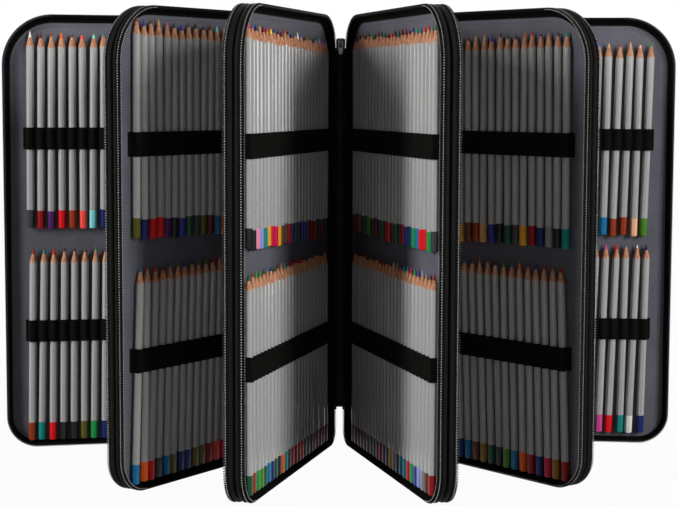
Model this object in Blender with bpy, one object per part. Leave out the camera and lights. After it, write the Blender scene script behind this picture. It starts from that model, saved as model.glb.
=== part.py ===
"""Multi-layer pencil case: six leaves joined at the spine, with a zip round each of the five compartments."""

import math

import bmesh
import bpy
from mathutils import Matrix, Vector

# Leaf outline, as seen square on
LEAF_WIDTH = 0.256
LEAF_HEIGHT = 0.378
TOP_OUTER_RADIUS = 0.044
BOTTOM_OUTER_RADIUS = 0.027
TOP_SPINE_RADIUS = 0.036
BOTTOM_SPINE_RADIUS = 0.016
CORNER_STEPS = 6

# Fan of the leaves: heading of each, from straight towards the front, positive to the right
LEAF_HEADINGS_DEG = (-78.8, -34.7, -15.75, 15.75, 39.9, 83.9)
LEFT_LEAVES = 3
HINGE_REACH = 0.008

# Clearances
CLEARANCE = 0.0003
HALF_RIM_GAP = 0.0002

# Pencils and the elastic bands that hold them
PENCIL_DIAMETER = 0.007
PENCIL_PITCH = 0.009
ROW_SIDE_MARGIN = 0.020
ROW_SPINE_MARGIN = 0.021
ROW_BOTTOM_MARGIN = 0.0072
ROW_TOP_MARGIN = 0.0165
ROW_GAP = 0.014
ROW_WEB = 0.0014
SHOULDER_SHARE = 0.33
VALLEY_SHARE = 0.69
BAND_THICKNESS = 0.0004
BAND_WIDTH = 0.019
BAND_RISES = {"bottom": 0.0107, "top": -0.0054}
BAND_FOOT = 0.0024

# Boards
DIVIDER_BOARD = 0.0014
COVER_BOARD = 0.0026
COVER_EDGE_INSETS = (0.0022, 0.0024, 0.0034)
COVER_EDGE_STEP = 0.0008

# Zip half: inset from the rim's outline and share of the tray's depth
COIL_WIDTH = 0.0028
COIL_DEPTH = 0.0018
TAPE_HEM = 0.0020
TAPE_OUTSIDE_INSETS = (0.0014, 0.0040)
TAPE_INSIDE_INSETS = (0.0053, 0.0049, 0.0026, 0.0013)
TAPE_OUTSIDE_SHARE = 0.68
TAPE_INSIDE_SHARES = (0.96, 0.60, 0.27)

# Spine strips
STRIP_THICKNESS = 0.0008
STRIP_RADIUS = 0.0056
STRIP_SEAM_DEPTH = 0.0009
STRIP_BOTTOM_MARGIN = 0.014
STRIP_TOP_MARGIN = 0.028
STRIP_ROUND_STEPS = 10
STRIP_NECK_TURN_DEG = 22
STRIP_ROUND_TURN_DEG = 42

# Sliders and pulls
SLIDER_OVERLAP = 0.001
SLIDER_HEIGHT = 0.010
SLIDER_WIDTH = 0.0084
SLIDER_FOOT_WIDTH = 0.0080
SLIDER_DEPTHS = (-0.0025, 0.0021)
BRIDGE_WIDTH = 0.0016
BRIDGE_DEPTHS = (0.0039, 0.0047)
BRIDGE_HEIGHTS = (0.0024, 0.0091)
BRIDGE_LEG = 0.0010
PULL_PIVOT_DEPTH = 0.0030
PULL_PIVOT_HEIGHT = 0.0067
PULL_WIDTH = 0.0044
PULL_LENGTH = 0.0108
PULL_BAR = 0.00045
PULL_WINDOW_WIDTH = 0.0026
PULL_WINDOW_LENGTH = 0.0046
PULL_TIP_CHAMFER = 0.0008

TRAY_DEPTH = HALF_RIM_GAP + BAND_THICKNESS + PENCIL_DIAMETER + 2 * CLEARANCE
LEAF_THICKNESS = 2 * TRAY_DEPTH + DIVIDER_BOARD
BOARD_INSET = TAPE_INSIDE_INSETS[0] + CLEARANCE
TAPE_FOOT_DEPTH = TRAY_DEPTH + DIVIDER_BOARD / 2 - CLEARANCE / 2
ROW_WIDTH_MOST = LEAF_WIDTH - ROW_SIDE_MARGIN - ROW_SPINE_MARGIN
PENCILS_PER_ROW = 1 + int((ROW_WIDTH_MOST - PENCIL_DIAMETER) / PENCIL_PITCH)
ROW_LENGTH = (LEAF_HEIGHT - ROW_BOTTOM_MARGIN - ROW_TOP_MARGIN - ROW_GAP) / 2
ROW_BOTTOMS = {"bottom": ROW_BOTTOM_MARGIN, "top": ROW_BOTTOM_MARGIN + ROW_LENGTH + ROW_GAP}
STRIP_BOTTOM = BOTTOM_SPINE_RADIUS + STRIP_BOTTOM_MARGIN
STRIP_TOP = LEAF_HEIGHT - STRIP_TOP_MARGIN
SLIDER_BOTTOM = STRIP_TOP - SLIDER_OVERLAP

COLOURS = {
    "leatherette": (0.105, 0.103, 0.125, 1.0),
    "zip": (0.012, 0.012, 0.011, 1.0),
    "elastic": (0.010, 0.010, 0.009, 1.0),
    "strip": (0.014, 0.013, 0.012, 1.0),
    "slider": (0.045, 0.043, 0.042, 1.0),
    "pull": (0.72, 0.68, 0.58, 1.0),
    "pencils": (0.42, 0.41, 0.40, 1.0),
}
ROUGHNESS = {
    "leatherette": 0.55,
    "zip": 0.8,
    "elastic": 0.9,
    "strip": 0.7,
    "slider": 0.35,
    "pull": 0.3,
    "pencils": 0.4,
}
METALS = ("slider", "pull")


def clear_scene():
    for obj in list(bpy.data.objects):
        bpy.data.objects.remove(obj, do_unlink=True)


def collection_named(name):
    found = bpy.data.collections.new(name)
    bpy.context.scene.collection.children.link(found)
    return found


def material_for(name, kind):
    material = bpy.data.materials.new(name)
    material.use_nodes = True
    shader = material.node_tree.nodes["Principled BSDF"]
    shader.inputs["Base Color"].default_value = COLOURS[kind]
    shader.inputs["Roughness"].default_value = ROUGHNESS[kind]
    shader.inputs["Metallic"].default_value = float(kind in METALS)
    material.diffuse_color = COLOURS[kind]
    return material


def rim_outline(inset):
    """(reach, height) points of the leaf's outline, moved in by the inset; reach is from the hinge axis."""
    corners = (
        (0, LEAF_HEIGHT, TOP_SPINE_RADIUS, 180),
        (LEAF_WIDTH, LEAF_HEIGHT, TOP_OUTER_RADIUS, 90),
        (LEAF_WIDTH, 0, BOTTOM_OUTER_RADIUS, 0),
        (0, 0, BOTTOM_SPINE_RADIUS, -90),
    )
    points = []
    for across, up, radius, start_deg in corners:
        centre_x = across + math.copysign(radius, LEAF_WIDTH / 2 - across)
        centre_z = up + math.copysign(radius, LEAF_HEIGHT / 2 - up)
        for step in range(CORNER_STEPS + 1):
            turn = math.radians(start_deg - 90 * step / CORNER_STEPS)
            x = centre_x + (radius - inset) * math.cos(turn)
            z = centre_z + (radius - inset) * math.sin(turn)
            points.append((HINGE_REACH + x, z))
    return points


def object_from(bm, name, kind, collection):
    bmesh.ops.remove_doubles(bm, verts=bm.verts, dist=CLEARANCE / 100)
    bmesh.ops.recalc_face_normals(bm, faces=bm.faces)
    mesh = bpy.data.meshes.new(name)
    bm.to_mesh(mesh)
    bm.free()
    mesh.shade_smooth()
    mesh.set_sharp_from_angle(angle=math.radians(38))
    obj = bpy.data.objects.new(name, mesh)
    collection.objects.link(obj)
    if kind:
        mesh.materials.append(material_for(name, kind))
    return obj


def loft(rings, name, kind, collection, closed=False):
    """Skins rings of equal length. A closed loft joins the last ring to the first; an open one is capped."""
    bm = bmesh.new()
    rows = [[bm.verts.new(point) for point in ring] for ring in rings]
    pairs = list(zip(rows, rows[1:]))
    if closed:
        pairs.append((rows[-1], rows[0]))
    else:
        bm.faces.new(rows[0])
        bm.faces.new(list(reversed(rows[-1])))
    for low, high in pairs:
        for i in range(len(low)):
            j = (i + 1) % len(low)
            bm.faces.new((low[i], low[j], high[j], high[i]))
    return object_from(bm, name, kind, collection)


def upright_prism(profile, bottom, top, name, kind, collection):
    """A plan outline raised from one height to another."""
    rings = [[(x, y, z) for x, y in profile] for z in (bottom, top)]
    return loft(rings, name, kind, collection)


def boolean(obj, other, operation, helpers):
    other.hide_render = True
    other.display_type = "WIRE"
    for holder in list(other.users_collection):
        holder.objects.unlink(other)
    helpers.objects.link(other)
    modifier = obj.modifiers.new(operation.title(), "BOOLEAN")
    modifier.operation = operation
    modifier.solver = "EXACT"
    modifier.object = other
    return modifier


class Face:
    """One side of a leaf. It turns a depth below the rim plane into the leaf's own y."""

    def __init__(self, label, side, outer):
        self.label = label
        self.side = side
        self.outer = outer

    def y(self, depth):
        return self.side * (LEAF_THICKNESS - depth if self.outer else depth)

    def ring(self, inset, depth):
        return [(x, self.y(depth), z) for x, z in rim_outline(inset)]


def tape_section():
    """(inset, depth) points round a zip half, from the coil's outer edge down the outside and up the inside."""
    points = [(0, HALF_RIM_GAP), (0, HALF_RIM_GAP + TAPE_HEM)]
    points.append((TAPE_OUTSIDE_INSETS[0], TAPE_OUTSIDE_SHARE * TRAY_DEPTH))
    points.append((TAPE_OUTSIDE_INSETS[1], TAPE_FOOT_DEPTH))
    points.append((TAPE_INSIDE_INSETS[0], TAPE_FOOT_DEPTH))
    for inset, share in zip(TAPE_INSIDE_INSETS[1:], TAPE_INSIDE_SHARES):
        points.append((inset, share * TRAY_DEPTH))
    points.append((COIL_WIDTH, COIL_DEPTH))
    points.append((COIL_WIDTH, HALF_RIM_GAP))
    return points


def zip_half(face, collection):
    rings = [face.ring(inset, depth) for inset, depth in tape_section()]
    return loft(rings, f"zip_{face.label}", "zip", collection, closed=True)


def cover(face, name, collection):
    """A stiff cover with its own zip half sewn round it, as one shell."""
    section = tape_section()
    inside = [(TAPE_INSIDE_INSETS[0], TRAY_DEPTH)] + section[6:]
    outside = section[:3]
    back = TRAY_DEPTH + COVER_BOARD
    edge_depths = (TRAY_DEPTH, back - COVER_EDGE_STEP, back)
    edge = list(zip(COVER_EDGE_INSETS, edge_depths))
    rings = [face.ring(inset, depth) for inset, depth in inside + outside + edge]
    return loft(rings, name, "leatherette", collection)


def divider_board(face, name, collection):
    depths = (TRAY_DEPTH, TRAY_DEPTH + DIVIDER_BOARD)
    rings = [face.ring(BOARD_INSET, depth) for depth in depths]
    return loft(rings, name, "leatherette", collection)


def row_ends():
    """The two outer sides of a row of pencils, as reaches from the hinge axis."""
    high = HINGE_REACH + LEAF_WIDTH - ROW_SIDE_MARGIN
    low = high - PENCIL_DIAMETER - (PENCILS_PER_ROW - 1) * PENCIL_PITCH
    return low, high


def band(face, where, collection):
    """One elastic band across a row, with its two ends turned down and out on to the lining."""
    low, high = row_ends()
    inner_low = low - CLEARANCE
    inner_high = high + CLEARANCE
    outer_low = inner_low - BAND_THICKNESS
    outer_high = inner_high + BAND_THICKNESS
    top = HALF_RIM_GAP
    under = top + BAND_THICKNESS
    foot = TRAY_DEPTH - CLEARANCE
    step = foot - BAND_THICKNESS
    section = (
        (outer_low - BAND_FOOT, foot),
        (outer_low - BAND_FOOT, step),
        (outer_low, step),
        (outer_low, top),
        (outer_high, top),
        (outer_high, step),
        (outer_high + BAND_FOOT, step),
        (outer_high + BAND_FOOT, foot),
        (inner_high, foot),
        (inner_high, under),
        (inner_low, under),
        (inner_low, foot),
    )
    profile = [(x, face.y(depth)) for x, depth in section]
    middle = ROW_BOTTOMS[where] + ROW_LENGTH / 2 + BAND_RISES[where]
    name = f"elastic_{face.label}_{where}"
    return upright_prism(
        profile, middle - BAND_WIDTH / 2, middle + BAND_WIDTH / 2, name, "elastic", collection
    )


def pencil_rows(face, collection, helpers):
    """The pencils of one side: an upper and a lower row, joined by a thin web behind them."""
    low, high = row_ends()
    base = TRAY_DEPTH - CLEARANCE
    top = base - PENCIL_DIAMETER
    waist = base - PENCIL_DIAMETER / 2
    valley = top + VALLEY_SHARE * PENCIL_DIAMETER
    shoulder = SHOULDER_SHARE * PENCIL_DIAMETER
    section = [(low, base), (low, waist)]
    for index in range(PENCILS_PER_ROW):
        middle = low + PENCIL_DIAMETER / 2 + index * PENCIL_PITCH
        section.append((middle - shoulder, top))
        section.append((middle + shoulder, top))
        if index < PENCILS_PER_ROW - 1:
            section.append((middle + PENCIL_PITCH / 2, valley))
    section += [(high, waist), (high, base)]
    profile = [(x, face.y(depth)) for x, depth in section]
    bottom = ROW_BOTTOMS["bottom"]
    above = ROW_BOTTOMS["top"]
    below = above - ROW_GAP
    upper = above + ROW_LENGTH
    name = f"pencils_{face.label}"
    rows = upright_prism(profile, bottom, upper, name, "pencils", collection)
    slot_section = (
        (low - PENCIL_PITCH, top - PENCIL_PITCH),
        (high + PENCIL_PITCH, top - PENCIL_PITCH),
        (high + PENCIL_PITCH, base - ROW_WEB),
        (low - PENCIL_PITCH, base - ROW_WEB),
    )
    slot_profile = [(x, face.y(depth)) for x, depth in slot_section]
    slot = upright_prism(slot_profile, below, above, f"{name}_slot", None, helpers)
    boolean(rows, slot, "DIFFERENCE", helpers)
    return rows


def ribbon(centre_line, thickness):
    """A closed plan outline of a strip of even thickness along a centre line."""
    left, right = [], []
    for index, point in enumerate(centre_line):
        before = centre_line[max(index - 1, 0)]
        after = centre_line[min(index + 1, len(centre_line) - 1)]
        along = Vector((after[0] - before[0], after[1] - before[1])).normalized()
        across = Vector((-along.y, along.x)) * thickness / 2
        left.append((point[0] + across.x, point[1] + across.y))
        right.append((point[0] - across.x, point[1] - across.y))
    return left + right[::-1]


def spine_strip(name, half_opening, collection):
    """The soft back wall of a compartment: a rounded fold behind the hinge axis, from one rim to the other."""
    end_reach = HINGE_REACH - CLEARANCE
    half = []
    seam_turn = half_opening + math.atan2(STRIP_SEAM_DEPTH, end_reach)
    half.append((end_reach, seam_turn))
    neck = (end_reach + STRIP_RADIUS) / 2
    half.append((neck, half_opening + math.radians(STRIP_NECK_TURN_DEG)))
    start = half_opening + math.radians(STRIP_ROUND_TURN_DEG)
    for step in range(STRIP_ROUND_STEPS + 1):
        turn = start + (math.pi - start) * step / STRIP_ROUND_STEPS
        half.append((STRIP_RADIUS, turn))
    line = [(r * math.cos(turn), r * math.sin(turn)) for r, turn in half]
    line += [(x, -y) for x, y in line[-2::-1]]
    outline = ribbon(line, STRIP_THICKNESS)
    return upright_prism(outline, STRIP_BOTTOM, STRIP_TOP, name, "strip", collection)


def slider(name, collection, helpers):
    back, front = SLIDER_DEPTHS
    top = SLIDER_BOTTOM + SLIDER_HEIGHT
    rings = []
    for width, z in ((SLIDER_FOOT_WIDTH, SLIDER_BOTTOM), (SLIDER_WIDTH, top)):
        half = width / 2
        rings.append([(back, -half, z), (front, -half, z), (front, half, z), (back, half, z)])
    body = loft(rings, name, "slider", collection)
    inner, outer = BRIDGE_DEPTHS
    low, high = (SLIDER_BOTTOM + height for height in BRIDGE_HEIGHTS)
    root = (back + front) / 2
    section = (
        (root, low),
        (outer, low),
        (outer, high),
        (root, high),
        (root, high - BRIDGE_LEG),
        (inner, high - BRIDGE_LEG),
        (inner, low + BRIDGE_LEG),
        (root, low + BRIDGE_LEG),
    )
    half = BRIDGE_WIDTH / 2
    rings = [[(x, y, z) for x, z in section] for y in (-half, half)]
    bridge = loft(rings, f"{name}_bridge", None, helpers)
    boolean(body, bridge, "UNION", helpers)
    return body


def pull(name, collection, helpers):
    """A small flat tab. Its upper bar passes behind the slider's bridge, and its origin is on that bar."""
    half = PULL_WIDTH / 2
    tip = PULL_TIP_CHAMFER
    outline = (
        (-half, PULL_BAR),
        (half, PULL_BAR),
        (half, tip - PULL_LENGTH),
        (half - tip, -PULL_LENGTH),
        (tip - half, -PULL_LENGTH),
        (-half, tip - PULL_LENGTH),
    )
    rings = [[(x, y, z) for y, z in outline] for x in (-PULL_BAR, PULL_BAR)]
    tab = loft(rings, name, "pull", collection)
    half = PULL_WINDOW_WIDTH / 2
    window = (
        (-half, -PULL_BAR),
        (half, -PULL_BAR),
        (half, -PULL_BAR - PULL_WINDOW_LENGTH),
        (-half, -PULL_BAR - PULL_WINDOW_LENGTH),
    )
    rings = [[(x, y, z) for y, z in window] for x in (-PULL_WIDTH, PULL_WIDTH)]
    cutter = loft(rings, f"{name}_window", None, helpers)
    boolean(tab, cutter, "DIFFERENCE", helpers)
    return tab


def heading_matrix(axis, heading_deg):
    """The placing of a frame on a hinge axis, with its x along the heading."""
    turn = Matrix.Rotation(math.radians(heading_deg - 90), 4, "Z")
    return Matrix.Translation((axis[0], axis[1], 0)) @ turn


def hinge_axes():
    """Plan positions of the five hinge axes, with the middle one at zero."""
    axes = {LEFT_LEAVES: Vector((0, 0))}
    for leaf in range(LEFT_LEAVES, 1, -1):
        turn = math.radians(LEAF_HEADINGS_DEG[leaf - 1])
        axes[leaf - 1] = axes[leaf] - LEAF_THICKNESS * Vector((math.cos(turn), math.sin(turn)))
    for leaf in range(LEFT_LEAVES + 1, len(LEAF_HEADINGS_DEG)):
        turn = math.radians(LEAF_HEADINGS_DEG[leaf - 1])
        axes[leaf] = axes[leaf - 1] + LEAF_THICKNESS * Vector((math.cos(turn), math.sin(turn)))
    return axes


def empty_at(name, matrix, collection):
    empty = bpy.data.objects.new(name, None)
    empty.empty_display_size = HINGE_REACH
    collection.objects.link(empty)
    empty.matrix_world = matrix
    return empty


def hang(children, parent, placing):
    for child in children:
        child.parent = parent
        child.matrix_parent_inverse = Matrix.Identity(4)
        child.matrix_local = placing


def build_leaf(leaf, axes, collection, helpers):
    leaves = len(LEAF_HEADINGS_DEG)
    on_left = leaf <= LEFT_LEAVES
    side = -1 if on_left else 1
    inner_axis = leaf if on_left else leaf - 1
    inner_label = f"{leaf}_left" if on_left else f"{leaf - 1}_right"
    outer_label = f"{leaf - 1}_right" if on_left else f"{leaf}_left"
    faces = [Face(inner_label, side, outer=False)]
    nodes = []
    if leaf in (1, leaves):
        name = "left_cover" if leaf == 1 else "right_cover"
        nodes.append(cover(faces[0], name, collection))
    else:
        faces.append(Face(outer_label, side, outer=True))
        nodes.append(divider_board(faces[0], f"divider_{leaf - 1}", collection))
        nodes += [zip_half(face, collection) for face in faces]
    for face in faces:
        rows = pencil_rows(face, collection, helpers)
        nodes.append(rows)
        nodes.append(rows.modifiers[0].object)
        nodes += [band(face, where, collection) for where in BAND_RISES]
    placing = heading_matrix(axes[inner_axis], LEAF_HEADINGS_DEG[leaf - 1])
    leaf_empty = empty_at(f"leaf_{leaf}", placing, collection)
    hang(nodes, leaf_empty, Matrix.Identity(4))
    return leaf_empty


def build_spine(compartment, axes, collection, helpers):
    near = LEAF_HEADINGS_DEG[compartment - 1]
    far = LEAF_HEADINGS_DEG[compartment]
    half_opening = math.radians((far - near) / 2)
    strip = spine_strip(f"spine_strip_{compartment}", half_opening, collection)
    body = slider(f"slider_{compartment}", collection, helpers)
    tab = pull(f"pull_{compartment}", collection, helpers)
    placing = heading_matrix(axes[compartment], (near + far) / 2)
    spine_empty = empty_at(f"hinge_axis_{compartment}", placing, collection)
    hang([strip, body, body.modifiers[0].object], spine_empty, Matrix.Identity(4))
    pivot = Matrix.Translation((PULL_PIVOT_DEPTH, 0, SLIDER_BOTTOM + PULL_PIVOT_HEIGHT))
    hang([tab, tab.modifiers[0].object], spine_empty, pivot)
    return spine_empty


def centre_over_origin(empties, collection):
    """Moves the whole so that the middle of its plan is on the origin."""
    bpy.context.view_layer.update()
    corners = [
        obj.matrix_world @ vertex.co
        for obj in collection.objects
        if obj.type == "MESH"
        for vertex in obj.data.vertices
    ]
    middle_x = (min(point.x for point in corners) + max(point.x for point in corners)) / 2
    middle_y = (min(point.y for point in corners) + max(point.y for point in corners)) / 2
    for empty in empties:
        empty.matrix_world = Matrix.Translation((-middle_x, -middle_y, 0)) @ empty.matrix_world
    bpy.context.view_layer.update()
    for empty in empties:
        x, y, z = empty.matrix_world.translation
        print(f"{empty.name}: {x:.6f} {y:.6f} {z:.6f}")


def main():
    clear_scene()
    collection = collection_named("multi_layer_pencil_case")
    helpers = collection_named("cutters")
    helpers.hide_render = True
    axes = hinge_axes()
    empties = []
    for leaf in range(1, len(LEAF_HEADINGS_DEG) + 1):
        empties.append(build_leaf(leaf, axes, collection, helpers))
    for compartment in range(1, len(LEAF_HEADINGS_DEG)):
        empties.append(build_spine(compartment, axes, collection, helpers))
    centre_over_origin(empties, collection)


main()
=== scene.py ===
"""Multi-layer pencil case standing open like a fan: six leaves, five zipped compartments, 480 pencils."""

import logging
import math
from dataclasses import dataclass, field
from enum import Enum
from functools import cached_property

import bmesh
import bpy
import numpy as np
from mathutils import Matrix, Vector


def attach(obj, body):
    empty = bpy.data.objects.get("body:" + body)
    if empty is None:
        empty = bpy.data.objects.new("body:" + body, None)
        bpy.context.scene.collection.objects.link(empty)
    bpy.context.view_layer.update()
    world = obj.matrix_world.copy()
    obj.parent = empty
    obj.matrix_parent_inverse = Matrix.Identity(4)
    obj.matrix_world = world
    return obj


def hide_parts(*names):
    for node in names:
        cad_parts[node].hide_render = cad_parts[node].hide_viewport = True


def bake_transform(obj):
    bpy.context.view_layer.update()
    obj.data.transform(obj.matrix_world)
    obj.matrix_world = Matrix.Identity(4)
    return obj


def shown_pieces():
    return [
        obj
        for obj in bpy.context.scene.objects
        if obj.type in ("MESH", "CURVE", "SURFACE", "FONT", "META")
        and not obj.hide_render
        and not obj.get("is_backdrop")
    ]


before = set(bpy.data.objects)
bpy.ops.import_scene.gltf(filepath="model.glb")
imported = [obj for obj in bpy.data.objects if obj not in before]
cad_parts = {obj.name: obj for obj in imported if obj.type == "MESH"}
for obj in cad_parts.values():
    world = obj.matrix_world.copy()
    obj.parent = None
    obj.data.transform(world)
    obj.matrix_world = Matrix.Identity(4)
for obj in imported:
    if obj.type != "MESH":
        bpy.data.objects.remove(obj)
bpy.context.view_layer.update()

log = logging.getLogger("pencil_case")

Mesh = bpy.types.Mesh
Node = bpy.types.Node
Object = bpy.types.Object
Socket = bpy.types.NodeSocket
Tree = bpy.types.NodeTree

MM = 0.001


# ---------------------------------------------------------------- shared helpers


def linear(hex_colour: str) -> tuple[float, float, float, float]:
    """Turns an sRGB hex colour into linear light.

    Args:
        hex_colour: Six hex digits.

    Returns:
        Red, green, blue and an alpha of 1.
    """
    parts = [int(hex_colour[i : i + 2], 16) / 255 for i in (0, 2, 4)]
    red, green, blue = (c / 12.92 if c <= 0.04045 else ((c + 0.055) / 1.055) ** 2.4 for c in parts)
    return red, green, blue, 1.0


def plug(tree: Tree, node: Node, inputs: dict) -> None:
    """Sets a node's inputs.

    Args:
        tree: Node tree that holds the node.
        node: The node.
        inputs: Input name or number to a value, or to the output socket to link from.
    """
    for key, value in inputs.items():
        if isinstance(value, Socket):
            tree.links.new(value, node.inputs[key])
        else:
            node.inputs[key].default_value = value


def add(tree: Tree, kind: str, inputs: dict | None = None, **settings: object) -> Node:
    """Adds one node with its settings and links.

    Args:
        tree: Node tree that gets the node.
        kind: Blender's type name of the node.
        inputs: Input name or number to a value, or to the output socket to link from.
        **settings: Properties set on the node itself.

    Returns:
        The new node.
    """
    node = tree.nodes.new(kind)
    for key, value in settings.items():
        setattr(node, key, value)
    plug(tree, node, inputs or {})
    return node


def per(size: float) -> float:
    """Noise or cell scale that gives features of this size in metres."""
    return 1.0 / size


def wave_per(period: float) -> float:
    """Wave Texture scale that gives bands of this period in metres."""
    return math.pi / 10 / period


def plan_axes(heading: float) -> tuple[np.ndarray, np.ndarray]:
    """Plan directions out along a heading in degrees, and aside to its right."""
    turn = math.radians(heading)
    return np.array((math.sin(turn), -math.cos(turn))), np.array((math.cos(turn), math.sin(turn)))


# ---------------------------------------------------------------- sizes and places


@dataclass(frozen=True)
class LeafOutline:
    """Outline of a leaf's rim seen square on, as reach from the hinge axis and height."""

    width: float = 256 * MM
    height: float = 378 * MM
    top_outer: float = 44 * MM
    bottom_outer: float = 27 * MM
    top_spine: float = 36 * MM
    bottom_spine: float = 16 * MM
    hinge_reach: float = 8 * MM
    corner_steps: int = 18

    def rim(self) -> tuple[np.ndarray, np.ndarray]:
        """Walks the rim from the middle of the spine side down, round the outer end and back.

        Returns:
            Points and inward normals, each as rows of (reach, height).
        """
        corners = (
            (0, 0, self.bottom_spine, 180),
            (self.width, 0, self.bottom_outer, 270),
            (self.width, self.height, self.top_outer, 0),
            (0, self.height, self.top_spine, 90),
        )
        points, inward = [], []
        for across, up, radius, start in corners:
            x = across + math.copysign(radius, self.width / 2 - across)
            z = up + math.copysign(radius, self.height / 2 - up)
            for step in range(self.corner_steps + 1):
                turn = math.radians(start + 90 * step / self.corner_steps)
                way = (math.cos(turn), math.sin(turn))
                points.append((self.hinge_reach + x + radius * way[0], z + radius * way[1]))
                inward.append((-way[0], -way[1]))
        return np.array(points), np.array(inward)


OUTLINE = LeafOutline()

# Depth of a leaf's tray below its rim plane, and thickness of a leaf
TRAY = 8.2 * MM
THICKNESS = 17.8 * MM

HEADINGS = (-78.8, -34.7, -15.75, 15.75, 39.9, 83.9)
LEFT_LEAVES = 3
MIDDLE_HINGE = (-1.180 * MM, 114.129 * MM)
LEAF_BODIES = (
    "left_cover_leaf",
    "divider_1_leaf",
    "divider_2_leaf",
    "divider_3_leaf",
    "divider_4_leaf",
    "right_cover_leaf",
)


def hinge_places() -> dict[int, np.ndarray]:
    """Plan positions of the five hinge axes, by compartment number."""
    places = {LEFT_LEAVES: np.array(MIDDLE_HINGE)}
    for leaf in range(LEFT_LEAVES, 1, -1):
        places[leaf - 1] = places[leaf] - THICKNESS * plan_axes(HEADINGS[leaf - 1])[1]
    for leaf in range(LEFT_LEAVES + 1, len(HEADINGS)):
        places[leaf] = places[leaf - 1] + THICKNESS * plan_axes(HEADINGS[leaf - 1])[1]
    return places


HINGES = hinge_places()


class Place:
    """Something that points can be given in the own coordinates of."""

    def world(self, points: np.ndarray) -> np.ndarray:
        """Places rows of points in the world."""
        raise NotImplementedError

    def grid(self, rings: list | np.ndarray) -> np.ndarray:
        """Places a grid of (section points, path points, 3) in the world."""
        rings = np.array(rings)
        return self.world(rings.reshape(-1, 3)).reshape(rings.shape)


@dataclass(frozen=True)
class Side(Place):
    """One side of a leaf, which is also one side of a compartment.

    Its own coordinates are (reach, height, rise): reach from the hinge axis, height above
    the ground and rise towards whoever looks at this side, zero at the rim plane.
    """

    label: str
    leaf: int
    outer: bool

    @property
    def body(self) -> str:
        """CAD body that this side rides on."""
        return LEAF_BODIES[self.leaf - 1]

    @property
    def on_cover(self) -> bool:
        """True where the side belongs to one of the two covers."""
        return self.leaf in (1, len(HEADINGS))

    @property
    def turned(self) -> bool:
        """True where the side's own coordinates are a mirror image of the world's."""
        return (self.leaf <= LEFT_LEAVES) != self.outer

    def world(self, points: np.ndarray) -> np.ndarray:
        """Places points of this side in the world.

        Args:
            points: Rows of (reach, height, rise).

        Returns:
            Rows of (x, y, z) in metres.
        """
        points = np.asarray(points, float)
        left = self.leaf <= LEFT_LEAVES
        hinge = HINGES[self.leaf if left else self.leaf - 1]
        depth = -points[:, 2]
        across = (THICKNESS - depth if self.outer else depth) * (-1 if left else 1)
        out, aside = plan_axes(HEADINGS[self.leaf - 1])
        plan = hinge + points[:, :1] * out + across[:, None] * aside
        return np.column_stack((plan, points[:, 1]))


def all_sides() -> list[Side]:
    """The ten sides of the five compartments, from left to right."""
    sides = []
    for leaf in range(1, len(HEADINGS) + 1):
        left = leaf <= LEFT_LEAVES
        if leaf not in (1, len(HEADINGS)):
            sides.append(Side(f"{leaf - 1}_right" if left else f"{leaf}_left", leaf, True))
        sides.append(Side(f"{leaf}_left" if left else f"{leaf - 1}_right", leaf, False))
    return sides


# ---------------------------------------------------------------- meshes


def soften(mesh: Mesh, smooth_to: float) -> None:
    """Smooths a mesh but for its edges sharper than this, in degrees."""
    mesh.shade_smooth()
    mesh.set_sharp_from_angle(angle=math.radians(smooth_to))


def in_scene(name: str, data: bpy.types.ID | None) -> Object:
    """A new object with this data, linked to the scene."""
    made = bpy.data.objects.new(name, data)
    bpy.context.scene.collection.objects.link(made)
    return made


def link(name: str, mesh: Mesh, smooth_to: float) -> Object:
    """Puts a mesh in the scene as an object, smooth but for its sharp edges."""
    soften(mesh, smooth_to)
    return in_scene(name, mesh)


def baked(carrier: Object) -> Mesh:
    """The mesh that an object's modifiers make."""
    bpy.context.view_layer.update()
    graph = bpy.context.evaluated_depsgraph_get()
    return bpy.data.meshes.new_from_object(carrier.evaluated_get(graph))


def lengths(points: np.ndarray, closed: bool) -> np.ndarray:
    """Distance along a line of points from its first, back to the first where it is closed."""
    line = np.vstack((points, points[:1])) if closed else points
    steps = np.linalg.norm(np.diff(line, axis=0), axis=1)
    return np.concatenate(([0.0], np.cumsum(steps)))


def right_of(line: np.ndarray) -> np.ndarray:
    """Unit normals to the right of a flat line of points."""
    ahead = np.gradient(line, axis=0)
    ahead /= np.linalg.norm(ahead, axis=1)[:, None]
    return np.column_stack((ahead[:, 1], -ahead[:, 0]))


def raised(line: np.ndarray, rise: float) -> np.ndarray:
    """A flat line of points with the same third coordinate throughout."""
    return np.column_stack((line, np.full(len(line), rise)))


def turns(steps: int, start: float = 0.0) -> list[tuple[float, float]]:
    """Cosine and sine of equal steps round a circle, from a start given in steps."""
    angles = [2 * math.pi * (step + start) / steps for step in range(steps)]
    return [(math.cos(angle), math.sin(angle)) for angle in angles]


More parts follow.
